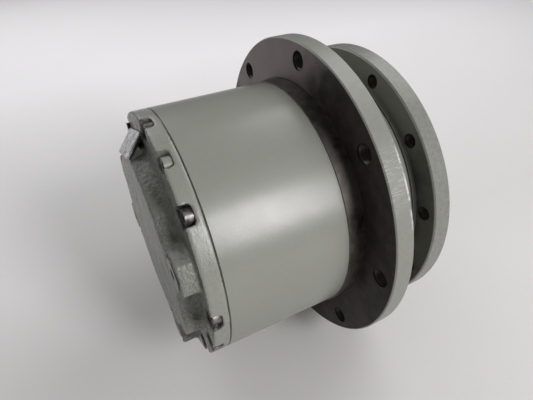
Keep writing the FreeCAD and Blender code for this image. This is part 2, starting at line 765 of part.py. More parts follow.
def cover_blank():
    """Turned blank of the end cover: spigot, flange and dome."""
    spigot_start = value(RING_GEAR_END) + value("seam_chamfer")
    seam = value(SEAM)
    rim = value(RIM)
    top = value(TOP)
    drum = value("drum_radius")
    spigot = value("ring_gear_radius")
    inside = spigot - value("cover_spigot_wall")
    ceiling = top - value("cover_wall")
    edge = value("dome_edge_round")
    bevel = value("seam_chamfer")
    outline = [
        (spigot, spigot_start),
        (spigot, seam),
        (drum - bevel, seam),
        (drum, seam + bevel),
        (drum, rim - bevel),
        (drum - bevel, rim),
        (value("dome_foot_radius"), rim),
        (value("dome_wall_radius"), rim + value("dome_foot_height")),
        (value("dome_top_radius"), top - edge),
        (value("dome_top_radius") - edge, top),
        (0.0, top),
        (0.0, value(BUTTON_END)),
        (value("button_radius"), value(BUTTON_END)),
        (value("button_radius"), seam),
        (value("button_boss_radius"), seam),
        (value("button_boss_radius"), ceiling),
        (value("cover_cavity_radius"), ceiling),
        (inside, seam),
        (inside, spigot_start),
    ]
    corners = [FreeCAD.Vector(radius, 0, depth) for radius, depth in outline]
    face = Part.Face(Part.makePolygon(corners + corners[:1]))
    return face.revolve(FreeCAD.Vector(), AXIS, 360)


def lobe(outer, root_width, width, place):
    """A tapered lobe on the cover's side, its outer end on a circle about the axis."""
    inner = value("lobe_root_radius")
    start = value(RIM) - value("seam_chamfer")
    end = value(TOP)
    corners = [FreeCAD.Vector(inner, -root_width / 2, start),
               FreeCAD.Vector(outer, -width / 2, start),
               FreeCAD.Vector(outer, width / 2, start),
               FreeCAD.Vector(inner, root_width / 2, start)]
    block = Part.Face(Part.makePolygon(corners + corners[:1])).extrude(FreeCAD.Vector(0, 0, end - start))
    return turned_copy(block.common(disc(outer, start, end)), place)


def slope_point(along, above):
    """Radius and depth of a place on the data plate's slope, which starts at the cover's top."""
    top_radius = value("plate_slope_top_radius")
    run = value("plate_slope_foot_radius") - top_radius
    drop = value("dome_height")
    length = math.hypot(run, drop)
    radius = top_radius + (along * run + above * drop) / length
    return radius, value(TOP) + (above * run - along * drop) / length


def slope_slab(start, length, low, high, width):
    """A slab that lies on the slope, between two heights above it."""
    end = start + length
    outline = [slope_point(start, low), slope_point(end, low), slope_point(end, high), slope_point(start, high)]
    return turned_copy(across_prism(outline, width), PLATE_PLACE)


def plate_pad():
    """The rib that backs the data plate, clear of the rim."""
    top = value(TOP)
    depth = value("plate_pad_depth")
    top_radius = value("plate_slope_top_radius")
    run = value("plate_slope_foot_radius") - top_radius
    inner = value("plate_pad_root_radius")
    back_radius = top_radius + run * depth / value("dome_height")
    outline = [(inner, top - depth), (back_radius, top - depth), (top_radius, top), (inner, top)]
    return turned_copy(across_prism(outline, value("plate_pad_width")), PLATE_PLACE)


def plate_flat():
    """What the data plate's slope cuts off the cover's edge."""
    rim = value(RIM)
    past = value(TOP) + PAST
    outer = value("drum_radius")
    top_radius = value("plate_slope_top_radius")
    outline = [(top_radius, value(TOP)), (value("plate_slope_foot_radius"), rim), (outer, rim),
               (outer, past), (top_radius, past)]
    return turned_copy(across_prism(outline, value("plate_flat_width")), PLATE_PLACE)


def cover_bolt_turns():
    """Angles of the cover's bolts, in degrees."""
    return [place + 360.0 * quarter / QUARTERS for quarter in range(QUARTERS) for place in COVER_BOLT_PLACES]


def make_end_cover():
    """Cast end cover with bolt notches, plug lobes and the data plate's rib."""
    top = value(TOP)
    adds = [lobe(value("plug_lobe_outer_radius"), value("plug_lobe_root_width"),
                 value("plug_lobe_width"), place) for place in PLUG_PLACES]
    adds += [lobe(value("body_lobe_radius"), value("body_lobe_root_width"),
                  value("body_lobe_width"), place) for place in BODY_LOBE_PLACES]
    adds.append(plate_pad())
    cover = cover_blank().fuse(adds)
    cuts = [plate_flat(), rim_screw_shank()]
    for turn in cover_bolt_turns():
        cuts.append(turned_copy(notch_cutter(), turn))
        cuts.append(bolt_hole(turn))
    for place in PLUG_PLACES:
        turn = math.radians(place)
        across = value("plug_centre_radius")
        seat = top - value("plug_recess_depth")
        cuts.append(disc(value("plug_recess_radius"), seat, top + PAST, across, turn))
        cuts.append(disc(value("plug_thread_radius"), value(SEAM) - PAST, top, across, turn))
    modelled("end_cover", cover.cut(Part.makeCompound(cuts)).removeSplitter())


def bolt_hole(turn):
    """Hole through the cover's flange with a spotface for the head, at an angle in degrees."""
    circle = value("cover_bolt_circle") / 2
    spotface = disc(value("cover_bolt_spotface_radius"), value(NOTCH_FLOOR), value(TOP), circle,
                    math.radians(turn))
    return disc(value("cover_bolt_radius"), value(SEAM) - PAST, value(RIM), circle,
                math.radians(turn)).fuse(spotface)


def rim_screw_shank():
    """Shank of the small screw in the rim, which is also its hole."""
    rim = value(RIM)
    return disc(value("rim_screw_radius"), rim - value("rim_screw_length"), rim,
                value("rim_screw_place_radius"), math.radians(RIM_SCREW_PLACE))


def make_cover_fittings():
    """Cover bolts, oil plugs with their washers, thrust button, data plate and rim screw."""
    floor = value(NOTCH_FLOOR)
    head_top = floor + value("cover_bolt_head_height")
    shank_end = value(SEAM) - value("cover_bolt_thread_length")
    shank = prism(SHANK_SIDES, value("cover_bolt_radius"), shank_end, floor)
    head = disc(value("cover_bolt_head_radius"), floor, head_top)
    socket = prism(SOCKET_SIDES, value("cover_bolt_socket_radius"),
                   head_top - value("cover_bolt_socket_depth"), head_top)
    bolt = shank.fuse(head).cut(socket)
    bolt.translate(FreeCAD.Vector(value("cover_bolt_circle") / 2, 0, 0))
    modelled("cover_bolts", Part.makeCompound([turned_copy(bolt, turn) for turn in cover_bolt_turns()]))
    make_plugs()
    modelled("thrust_button", disc(value("button_radius"), value(BUTTON), value(BUTTON_END)))
    make_data_plate()
    rim = value(RIM)
    screw_head = disc(value("rim_screw_head_radius"), rim, rim + value("rim_screw_head_height"),
                      value("rim_screw_place_radius"), math.radians(RIM_SCREW_PLACE))
    modelled("rim_screw", rim_screw_shank().fuse(screw_head))


def make_plugs():
    """Oil plugs with a hexagon socket, each on a flat sealing washer in its recess."""
    seat = value(TOP) - value("plug_recess_depth")
    washer_top = seat + value("plug_washer_thickness")
    head_top = washer_top + value("plug_head_height")
    thread = value("plug_thread_radius")
    shank = prism(RING_SIDES, thread, washer_top - value("plug_thread_length"), washer_top)
    plug = shank.fuse(disc(value("plug_head_radius"), washer_top, head_top))
    socket_floor = head_top - value("plug_socket_depth")
    plug = plug.cut(prism(SOCKET_SIDES, value("plug_socket_radius"), socket_floor, head_top))
    ring = prism(RING_SIDES, value("plug_washer_radius"), seat, washer_top)
    ring = ring.cut(prism(RING_SIDES, thread, seat, washer_top))
    shift = FreeCAD.Vector(value("plug_centre_radius"), 0, 0)
    plug.translate(shift)
    ring.translate(shift)
    modelled("oil_plugs", Part.makeCompound([turned_copy(plug, place) for place in PLUG_PLACES]))
    modelled("plug_washers", Part.makeCompound([turned_copy(ring, place) for place in PLUG_PLACES]))


def make_data_plate():
    """Bare plate on its dark backing sheet, on the slope of its rib."""
    backing = value("plate_backing_thickness")
    modelled("plate_backing", slope_slab(value("plate_backing_start"), value("plate_backing_length"),
                                         0.0, backing, value("plate_backing_width")))
    modelled("data_plate", slope_slab(value("plate_start"), value("plate_length"), backing,
                                      backing + value("plate_thickness"), value("plate_width")))


def check_document():
    """Stop if any object failed or any piece is empty or broken."""
    doc.recompute()
    for item in doc.Objects:
        if "Invalid" in item.State or "Error" in item.State:
            raise RuntimeError(f"{item.Label} did not build: {item.State}")
    for piece in pieces:
        if piece.Shape.isNull() or not piece.Shape.isValid():
            raise RuntimeError(f"{piece.Label} has no valid shape")


def export_pieces():
    """Write one file per piece, named by its label."""
    os.makedirs("parts", exist_ok=True)
    for piece in pieces:
        piece.Shape.exportStep(f"parts/{piece.Label}.step")


fill_sheet()
make_spindle()
make_drum_housing()
make_bearings()
make_seal()
make_ring_gear()
make_second_stage()
make_first_stage()
make_end_cover()
make_cover_fittings()
check_document()
export_pieces()
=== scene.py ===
"""Finishes and light for a small crawler's travel drive: satin paint, dark turned faces and cast cover."""

import logging
import math
from dataclasses import dataclass, field
from enum import Enum
from typing import Any

import bmesh
import bpy
from mathutils import Matrix, Vector

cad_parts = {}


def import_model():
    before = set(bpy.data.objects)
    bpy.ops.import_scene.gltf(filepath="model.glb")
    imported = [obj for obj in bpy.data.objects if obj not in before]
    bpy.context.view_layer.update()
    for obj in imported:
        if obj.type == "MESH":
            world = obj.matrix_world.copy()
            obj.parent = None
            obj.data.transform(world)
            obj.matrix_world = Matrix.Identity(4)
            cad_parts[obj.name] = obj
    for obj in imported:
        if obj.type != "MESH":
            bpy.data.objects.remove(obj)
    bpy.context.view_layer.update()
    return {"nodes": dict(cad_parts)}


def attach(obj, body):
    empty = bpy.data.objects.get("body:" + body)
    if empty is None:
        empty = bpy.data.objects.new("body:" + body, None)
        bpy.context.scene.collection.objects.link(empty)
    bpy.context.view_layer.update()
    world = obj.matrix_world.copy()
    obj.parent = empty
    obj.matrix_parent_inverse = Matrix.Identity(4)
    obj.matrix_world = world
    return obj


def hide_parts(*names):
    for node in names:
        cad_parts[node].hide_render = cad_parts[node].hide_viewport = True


LOG = logging.getLogger("travel_drive")
MM = 0.001
MM_PER_METRE = 1000.0
MERGE_DISTANCE = 0.000001
NOISE_MIDDLE = 0.5

Colour = tuple[float, float, float]
SEAM_SHADE: Colour = (0.030, 0.029, 0.026)
SEAM_SHARE = 0.6
SEAM_BLUR = 0.3
EDGE_BLUR = 0.12


def shades(colour: Colour, spread: float) -> tuple[Colour, Colour]:
    """A darker and a lighter shade of a colour, each a share of its tone away."""
    dark = tuple(channel * (1 - spread) for channel in colour)
    light = tuple(min(1.0, channel * (1 + spread)) for channel in colour)
    return dark, light


class Term:
    """A number or vector socket that builds Math nodes from Python expressions."""

    def __init__(self, graph: "Graph", socket: bpy.types.NodeSocket) -> None:
        """Keep the socket with the graph that it belongs to."""
        self.graph = graph
        self.socket = socket

    def _maths(self, operation: str, *others: "Term | float", clamp: bool = False) -> "Term":
        """Add one Math node whose first input is this term."""
        values = {index + 1: other for index, other in enumerate(others)}
        return self.graph.add("ShaderNodeMath", {"operation": operation, "use_clamp": clamp},
                              {0: self, **values})

    def __add__(self, other: "Term | float") -> "Term":
        """Sum."""
        return self._maths("ADD", other)

    def __mul__(self, other: "Term | float") -> "Term":
        """Product."""
        return self._maths("MULTIPLY", other)

    def __sub__(self, other: "Term | float") -> "Term":
        """Difference."""
        return self._maths("SUBTRACT", other)

    def __rsub__(self, other: float) -> "Term":
        """Difference from a plain number."""
        return self * -1.0 + other

    def __truediv__(self, other: "Term | float") -> "Term":
        """Quotient."""
        return self._maths("DIVIDE", other)

    __radd__ = __add__
    __rmul__ = __mul__

    def root(self) -> "Term":
        """Square root."""
        return self._maths("SQRT")

    def size(self) -> "Term":
        """Absolute value."""
        return self._maths("ABSOLUTE")

    def most(self, other: "Term | float") -> "Term":
        """The larger of two terms."""
        return self._maths("MAXIMUM", other)

    def cosine(self) -> "Term":
        """Cosine of an angle in radians."""
        return self._maths("COSINE")

    def angle_to(self, other: "Term") -> "Term":
        """Angle whose tangent is this term over the other."""
        return self._maths("ARCTAN2", other)

    def folded(self, step: float) -> "Term":
        """Distance from the nearest whole multiple of a step."""
        return self._maths("PINGPONG", step / 2)

    def clamped(self) -> "Term":
        """This term held between 0 and 1."""
        return self._maths("ADD", 0.0, clamp=True)

    def past(self, level: float, gain: float) -> "Term":
        """Mask that is 0 at a level and climbs with the gain, or below the level where that is negative."""
        return ((self - level) * gain).clamped()

    def above(self, edge: float, blur: float) -> "Term":
        """Mask that rises from 0 to 1 round an edge."""
        return ((self - edge) / blur + 0.5).clamped()

    def between(self, low: float, high: float, blur: float) -> "Term":
        """Mask that is 1 from a low edge to a high edge."""
        return self.above(low, blur) * (1.0 - self.above(high, blur))


class Graph:
    """One material's nodes, with the drive's own coordinates in millimetres."""

    MIX_FACTOR, MIX_LOW, MIX_HIGH, MIX_RESULT = 0, 6, 7, 2

    def __init__(self, name: str) -> None:
        """Start a node material with only a Principled shader and its output."""
        self.material = bpy.data.materials.new(name)
        self.material.use_nodes = True
        self.nodes = self.material.node_tree.nodes
        self.links = self.material.node_tree.links
        self.shader = next(node for node in self.nodes if node.type == "BSDF_PRINCIPLED")
        self.place = self.add("ShaderNodeTexCoord", {}, {}, "Object")
        across, along, up = self.parts(self.place)
        self.depth = along * -MM_PER_METRE
        self.across = across * MM_PER_METRE
        self.up = up * MM_PER_METRE
        self.radius = (self.across * self.across + self.up * self.up).root()
        self.turn = self.up.angle_to(self.across)

    def add(self, kind: str, settings: dict[str, Any], inputs: dict[Any, Any],
            output: str | int = 0) -> Term:
        """Make one node.

        Args:
            kind: The node's type.
            settings: Properties set before any socket.
            inputs: Values, terms or sockets by input name or number.
            output: The output to hand back.

        Returns:
            The chosen output as a term.
        """
        node = self.nodes.new(kind)
        for key, setting in settings.items():
            setattr(node, key, setting)
        for key, source in inputs.items():
            if isinstance(source, Term):
                self.links.new(source.socket, node.inputs[key])
            else:
                node.inputs[key].default_value = source
        return Term(self, node.outputs[output])

    def parts(self, vector: Term) -> tuple[Term, Term, Term]:
        """Split a vector into its three terms."""
        split = self.add("ShaderNodeSeparateXYZ", {}, {0: vector})
        outputs = split.socket.node.outputs
        return Term(self, outputs[0]), Term(self, outputs[1]), Term(self, outputs[2])

    def vector(self, across: Term | float, along: Term | float, up: Term | float) -> Term:
        """Join three terms into a vector."""
        return self.add("ShaderNodeCombineXYZ", {}, {0: across, 1: along, 2: up})

    def noise(self, scale: float, detail: float = 3.0, rough: float = 0.5,
              place: Term | None = None) -> Term:
        """Noise between about 0.25 and 0.75, its scale in cycles per unit of its place.

        Args:
            scale: Cycles per metre, or per unit of the place that is given.
            detail: Finer layers added to the first.
            rough: Share of each finer layer.
            place: Coordinates other than the object's own.

        Returns:
            The noise as a term.
        """
        return self.add("ShaderNodeTexNoise", {},
                        {"Vector": place or self.place, "Scale": scale, "Detail": detail,
                         "Roughness": rough})

    def mixed(self, mask: Term | float, low: Term | Colour, high: Term | Colour) -> Term:
        """Blend two colours by a mask."""
        pair = [one if isinstance(one, Term) else (*one, 1.0) for one in (low, high)]
        return self.add("ShaderNodeMix", {"data_type": "RGBA", "clamp_factor": True},
                        {self.MIX_FACTOR: mask, self.MIX_LOW: pair[0], self.MIX_HIGH: pair[1]},
                        self.MIX_RESULT)

    def blended(self, mask: Term, low: Term | float, high: Term | float) -> Term:
        """Blend two numbers by a mask."""
        return (1.0 - mask) * low + mask * high

    def bump(self, height: Term, strength: float, distance: float) -> None:
        """Raise the surface by a height term, its distance in metres."""
        normal = self.add("ShaderNodeBump", {},
                          {"Strength": strength, "Distance": distance, "Height": height})
        self.links.new(normal.socket, self.shader.inputs["Normal"])

    def finish(self, **values: Any) -> bpy.types.Material:
        """Set the shader's sockets by name, with spaces written as underscores."""
        for key, source in values.items():
            socket = self.shader.inputs[key.replace("_", " ")]
            if isinstance(source, Term):
                self.links.new(source.socket, socket)
            elif isinstance(source, tuple):
                socket.default_value = (*source, 1.0)
            else:
                socket.default_value = source
        return self.material


@dataclass(frozen=True)
class Mottle:
    """Ragged patches, where a noise passes a level."""

    scale: float
    level: float
    gain: float
    detail: float = 3.0
    rough: float = 0.5

    def mask(self, graph: Graph, place: Term | None = None) -> Term:
        """One inside the patches, nothing outside them."""
        return graph.noise(self.scale, self.detail, self.rough, place).past(self.level, self.gain)


@dataclass(frozen=True)
class SatinPaint:
    """Grey-green satin paint, sprayed over turned or cast iron, with its noises in cycles per metre."""

    colour: Colour = (0.224, 0.233, 0.201)
    colour_spread: float = 0.10
    cloud_scale: float = 14.0
    cloud_share: float = 0.7
    fleck_scale: float = 420.0
    roughness: float = 0.305
    sheen_scale: float = 60.0
    sheen_spread: float = 0.10
    grain: float = 780.0
    grain_strength: float = 0.5
    grain_height: float = 0.00010

    def tint(self, graph: Graph) -> Term:
        """Paint colour with faint cloudy variation."""
        cloud = graph.noise(self.cloud_scale, detail=2.0)
        fleck = graph.noise(self.fleck_scale, detail=2.0)
        cool, warm = shades(self.colour, self.colour_spread)
        return graph.mixed(cloud * self.cloud_share + fleck * (1 - self.cloud_share), cool, warm)

    def sheen(self, graph: Graph) -> Term:
        """Roughness with faint variation."""
        middle = self.roughness - self.sheen_spread * NOISE_MIDDLE
        return graph.noise(self.sheen_scale, detail=2.0) * self.sheen_spread + middle

    def peel(self, graph: Graph) -> Term:
        """Height of the sprayed film's fine texture."""
        return graph.noise(self.grain)

    def material(self, name: str) -> bpy.types.Material:
        """Plain painted surface, for a piece with no bare faces."""
        graph = Graph(name)
        graph.bump(self.peel(graph), self.grain_strength, self.grain_height)
        return graph.finish(Base_Color=self.tint(graph), Roughness=self.sheen(graph))


@dataclass(frozen=True)
class TurnedIron:
    """Dark bare iron with oxide in clouds, turning marks round the axis and a painted highlight on one side.

    The highlight is painted light: paler on the side facing an angle in degrees, as wide as the cosine at
    its edge. Patches are in cycles per metre, and the waves of rings and marks in cycles per millimetre.
    """

    colour: Colour = (0.012, 0.010, 0.009)
    light: Colour = (0.046, 0.037, 0.034)
    crown: Colour = (0.220, 0.180, 0.178)
    patches: float = 30.0
    blots_per_patch: float = 4.0
    blot_share: float = 0.5
    ring_wave: float = 1.4
    ring_share: float = 0.4
    rubbed_level: float = 0.62
    rubbed_gain: float = 2.2
    highlight_turn: float = 118.0
    highlight_edge: float = 0.66
    highlight_gain: float = 4.0
    highlight_ragged: float = 1.8
    highlight_share: float = 0.9
    mark_wave: float = 2.6
    roughness: float = 0.50
    sheen_scale: float = 70.0
    sheen_spread: float = 0.16
    metallic: float = 0.55

    def tint(self, graph: Graph) -> Term:
        """Brown-black oxide with lighter rubbed patches, and a painted highlight on one side."""
        clouds = graph.noise(self.patches, detail=4.0, rough=0.6)
        blots = graph.noise(self.patches * self.blots_per_patch, rough=0.6)
        waves = graph.vector(graph.radius * self.ring_wave, 0.0, 0.0)
        rings = graph.noise(1.0, detail=2.0, place=waves)
        oxide = clouds + blots * self.blot_share + rings * self.ring_share
        base = graph.mixed((oxide - self.rubbed_level) * self.rubbed_gain, self.colour, self.light)
        # painted highlight: paler on the side that faces the given turn, where the light falls
        facing = (graph.turn - math.radians(self.highlight_turn)).cosine()
        ragged = (clouds - NOISE_MIDDLE) * self.highlight_ragged
        highlight_mask = ((facing - self.highlight_edge) * self.highlight_gain + ragged).clamped() * self.highlight_share
        return graph.mixed(highlight_mask, base, self.crown)

    def sheen(self, graph: Graph) -> Term:
        """Roughness with cloudy variation."""
        middle = self.roughness - self.sheen_spread * NOISE_MIDDLE
        return graph.noise(self.sheen_scale) * self.sheen_spread + middle

    def marks(self, graph: Graph) -> Term:
        """Height of the turning marks."""
        waves = graph.vector(graph.radius * self.mark_wave, graph.depth * self.mark_wave, 0.0)
        return graph.noise(1.0, detail=2.0, place=waves)


@dataclass(frozen=True)
class Zone:
    """A stretch of a turned casting, in millimetres from the mounting face and from the axis."""

    near: float
    far: float
    inner: float
    outer: float
    blur: float = EDGE_BLUR

    def mask(self, graph: Graph) -> Term:
        """One inside the zone, nothing outside it."""
        along = graph.depth.between(self.near, self.far, EDGE_BLUR)
        return along * graph.radius.between(self.inner, self.outer, self.blur)


@dataclass(frozen=True)
class BareZone:
    """A zone with no paint, and the iron that shows in it."""

    zone: Zone
    iron: TurnedIron


@dataclass(frozen=True)
class MarkedRim:
    """A flange's rim, mottled all round and scraped across in one stretch.

    The stretch is in degrees, its blur and the chips' reach past it in radians, and the chips' width in
    millimetres. Scrapes are counted per radian.
    """

    zone: Zone
    scraped: tuple[float, float] | None = None
    shade: Colour = (0.185, 0.190, 0.166)
    bright: Colour = (0.66, 0.65, 0.63)
    bright_roughness: float = 0.25
    mottle_scale: float = 330.0
    mottle_gain: float = 1.6
    mottle_level: float = 0.30
    dulling: float = 0.05
    dulling_spread: float = 0.14
    scrape: Mottle = Mottle(1.0, level=0.52, gain=6.0, rough=0.7)
    scrapes_round: float = 150.0
    scrape_bend: float = 0.05
    scrape_share: float = 0.42
    stretch_blur: float = 0.12
    chip: Mottle = Mottle(160.0, level=0.44, gain=7.0, rough=0.7)
    chip_width: float = 2.0
    chip_blur: float = 0.5
    chip_reach: tuple[float, float] = (0.12, 0.02)
    chip_share: float = 0.85

    def dress(self, graph: Graph, colour: Term, rough: Term) -> tuple[Term, Term]:
        """Mottle the paint, and lay bright scrapes over it.

        Args:
            graph: The material's nodes.
            colour: The paint's colour.
            rough: The paint's roughness.

        Returns:
            The colour and the roughness with the rim's marks.
        """
        mask = self.zone.mask(graph)
        mottle = graph.noise(self.mottle_scale, detail=4.0, rough=0.65)
        spots = (mottle * self.mottle_gain - self.mottle_level).clamped()
        colour = graph.mixed(spots * mask, colour, self.shade)
        rough = rough + mask * (mottle * self.dulling_spread + self.dulling)
        if self.scraped:
            worn = self._worn(graph, mask)
            colour = graph.mixed(worn, colour, self.bright)
            rough = graph.blended(worn, rough, self.bright_roughness)
        return colour, rough

    def _worn(self, graph: Graph, mask: Term) -> Term:
        """Fine scrapes across the rim, and chips along its near edge."""
        low, high = (math.radians(angle) for angle in self.scraped)
        stretch = graph.turn.between(low, high, self.stretch_blur) * mask
        across = graph.vector(graph.turn * self.scrapes_round, graph.depth * self.scrape_bend, 0.0)
        scrapes = self.scrape.mask(graph, across) * stretch * self.scrape_share
        edge = graph.depth.between(self.zone.near, self.zone.near + self.chip_width, self.chip_blur)
        before, after = self.chip_reach
        wide = graph.turn.between(low - before, high + after, self.stretch_blur)
        chips = self.chip.mask(graph) * edge * wide * mask
        return scrapes.most(chips * self.chip_share)


@dataclass(frozen=True)
class HoleRing:
    """Bare holes on a circle, in millimetres, the first at an angle in degrees."""

    circle_radius: float
    hole_radius: float
    count: int
    first: float
    lip: float = 0.25
    blur: float = 0.3

    def mask(self, graph: Graph) -> Term:
        """One on the walls and the countersunk lips of the holes."""
        step = 2 * math.pi / self.count
        side = (graph.turn - math.radians(self.first)).folded(step) * graph.radius
        out = graph.radius - self.circle_radius
        return 1.0 - (side * side + out * out).root().above(self.hole_radius + self.lip, self.blur)


FRAME_HOLES = HoleRing(circle_radius=112.5, hole_radius=5.5, count=12, first=15.0)
MOTOR_HOLES = HoleRing(circle_radius=72.0, hole_radius=4.25, count=6, first=0.0)
SPROCKET_HOLES = HoleRing(circle_radius=126.0, hole_radius=7.5, count=8, first=0.0)


@dataclass(frozen=True)
class PartPainted:
    """Painted casting whose mating faces stay bare."""

    paint: SatinPaint
    bare: tuple[BareZone, ...]
    holes: tuple[HoleRing, ...]
    hole_iron: TurnedIron
    rim: MarkedRim
    seams: tuple[float, ...] = ()
    seam_half_width: float = 0.45

    def material(self, name: str) -> bpy.types.Material:
        """Paint and bare iron in one material, split by zones."""
        graph = Graph(name)
        colour, rough = self.rim.dress(graph, self.paint.tint(graph), self.paint.sheen(graph))
        height = self.paint.peel(graph)
        metal: Term | float = 0.0
        for part in self.bare:
            mask = part.zone.mask(graph)
            colour = graph.mixed(mask, colour, part.iron.tint(graph))
            rough = graph.blended(mask, rough, part.iron.sheen(graph))
            height = graph.blended(mask, height, part.iron.marks(graph))
            metal = mask * part.iron.metallic + metal
        for ring in self.holes:
            mask = ring.mask(graph)
            colour = graph.mixed(mask, colour, self.hole_iron.colour)
            rough = graph.blended(mask, rough, self.hole_iron.roughness)
        for seam in self.seams:
            line = graph.depth.between(seam - self.seam_half_width, seam + self.seam_half_width, SEAM_BLUR)
            colour = graph.mixed(line * SEAM_SHARE, colour, SEAM_SHADE)
        graph.bump(height, self.paint.grain_strength, self.paint.grain_height)
        return graph.finish(Base_Color=colour, Roughness=rough, Metallic=metal)


@dataclass(frozen=True)
class RibHighlight:
    """The rib behind the data plate, with a painted highlight on both end faces, in millimetres and degrees.
    """

    turn: float = 111.0
    side: float = 24.0
    foot: float = 197.5
    inner: float = 71.5
    reach: float = 1.2
    blur: float = 0.6
    ridge: tuple[float, float] = (-1.4, -0.2)
    ridge_blur: float = 0.5
    face_share: float = 0.55
    ridge_share: float = 0.4
    colour: Colour = (0.60, 0.60, 0.55)

    def mask(self, graph: Graph) -> Term:
        """Part on the rib's end faces, and more on their edges."""
        turn = math.radians(self.turn)
        side = (graph.across * math.sin(turn) - graph.up * math.cos(turn)).size()
        out = graph.across * math.cos(turn) + graph.up * math.sin(turn)
        on_end = side.between(self.side - self.reach, self.side + self.reach, self.blur)
        on_end = on_end * graph.depth.above(self.foot, self.blur) * out.above(self.inner, self.blur)
        near, far = self.ridge
        ridge = side.between(self.side + near, self.side + far, self.ridge_blur)
        return (on_end * self.face_share + on_end * ridge * self.ridge_share).clamped()


@dataclass(frozen=True)
class NotchShade:
    """Painted shade in every second bolt notch, in millimetres and degrees."""

    spacing: float = 45.0
    half_width: float = 7.9
    floor: float = 90.0
    flange_face: float = 195.5
    wall_blur: float = 0.5
    face_blur: float = 0.3
    shade_blotches: Mottle = Mottle(180.0, level=0.30, gain=4.0)
    share: float = 0.85

    def mask(self, graph: Graph, rim_radius: float) -> Term:
        """One in the painted shade between the notches' floor and the rim."""
        side = graph.turn.folded(math.radians(self.spacing)) * graph.radius
        inside = graph.radius.between(self.floor, rim_radius, self.wall_blur)
        near_bolt = (1.0 - side.above(self.half_width, self.wall_blur)) * inside
        low = 1.0 - graph.depth.above(self.flange_face, self.face_blur)
        return near_bolt * low * self.shade_blotches.mask(graph) * self.share


@dataclass(frozen=True)
class CastPaint:
    """The same paint over rough cast iron."""

    paint: SatinPaint
    rib_highlight: RibHighlight = RibHighlight()
    notch_shade: NotchShade = NotchShade()
    rim_radius: float = 104.6
    rim_blur: float = 0.2
    rim_smoothness: float = 0.93
    seam: float = 182.75
    patch: Mottle = Mottle(42.0, level=0.45, gain=6.0, detail=2.0)
    patch_share: float = 0.6
    patch_gloss: float = 0.05
    coarse_scale: float = 330.0
    fine_scale: float = 1000.0
    fine_share: float = 0.05
    skin_height: float = 0.0032
    hollow_level: float = 0.47
    hollow_gain: float = -5.0
    hollow_share: float = 0.45
    hollow_shade: Colour = (0.075, 0.074, 0.064)
    # painted shade over the cover inside its turned rim
    dirt_and_shade: float = 0.32
    dirt_and_shade_colour: Colour = (0.085, 0.084, 0.074)

    def material(self, name: str) -> bpy.types.Material:
        """Painted sand casting, with coarse glossy grain in patches inside the turned rim."""
        graph = Graph(name)
        patches = self.patch.mask(graph)
        coarse = graph.noise(self.coarse_scale, rough=0.6)
        fine = graph.noise(self.fine_scale, detail=2.0)
        turned_rim = graph.radius.above(self.rim_radius, self.rim_blur)
        cast_skin = patches * self.patch_share + (1 - self.patch_share)
        skin = cast_skin * (1.0 - turned_rim * self.rim_smoothness)
        graph.bump(coarse * skin + fine * self.fine_share, strength=1.0, distance=self.skin_height)
        hollows = coarse.past(self.hollow_level, self.hollow_gain) * skin * self.hollow_share
        seam = 1.0 - graph.depth.above(self.seam, SEAM_BLUR)
        colour = graph.mixed(hollows, self.paint.tint(graph), self.hollow_shade)
        # painted shade: the whole cover inside the turned rim darkened, as its walls lie in shade
        colour = graph.mixed((1.0 - turned_rim) * self.dirt_and_shade, colour, self.dirt_and_shade_colour)
        # painted highlight on the rib's end faces and ridges, where light glances off them
        colour = graph.mixed(self.rib_highlight.mask(graph), colour, self.rib_highlight.colour)
        # painted shade inside the bolt notches, broken into blotches
        colour = graph.mixed(self.notch_shade.mask(graph, self.rim_radius), colour, SEAM_SHADE)
        colour = graph.mixed(seam * SEAM_SHARE, colour, SEAM_SHADE)
        rough = self.paint.sheen(graph) - patches * self.patch_gloss
        return graph.finish(Base_Color=colour, Roughness=rough)


@dataclass(frozen=True)
class BoltPaint:
    """Zinc bolt heads, painted over with the cover in one stretch of the circle, in degrees."""

    paint: SatinPaint
    zinc: Colour = (0.30, 0.295, 0.28)
    dirt_and_shade_colour: Colour = (0.085, 0.083, 0.076)
    dirt_and_shade: Mottle = Mottle(300.0, level=0.40, gain=4.0, detail=4.0, rough=0.65)
    dirt_gloss: float = 0.08
    zinc_roughness: float = 0.42
    zinc_metallic: float = 0.7
    painted: tuple[float, float] = (56.0, 79.0)
    painted_blur: float = 0.02
    painted_roughness: float = 0.3
    grain: float = 700.0
    grain_strength: float = 0.4
    grain_height: float = 0.00012

    def material(self, name: str) -> bpy.types.Material:
        """Worn zinc with dirt, and paint over some of the heads."""
        graph = Graph(name)
        low, high = (math.radians(angle) for angle in self.painted)
        dirt_and_shade = self.dirt_and_shade.mask(graph)
        worn = graph.mixed(dirt_and_shade, self.dirt_and_shade_colour, self.zinc)
        cover = graph.turn.between(low, high, self.painted_blur)
        graph.bump(graph.noise(self.grain), self.grain_strength, self.grain_height)
        rough = graph.blended(cover, self.zinc_roughness - dirt_and_shade * self.dirt_gloss, self.painted_roughness)
        return graph.finish(Base_Color=graph.mixed(cover, worn, self.paint.tint(graph)), Roughness=rough,
                            Metallic=(1.0 - cover) * self.zinc_metallic)


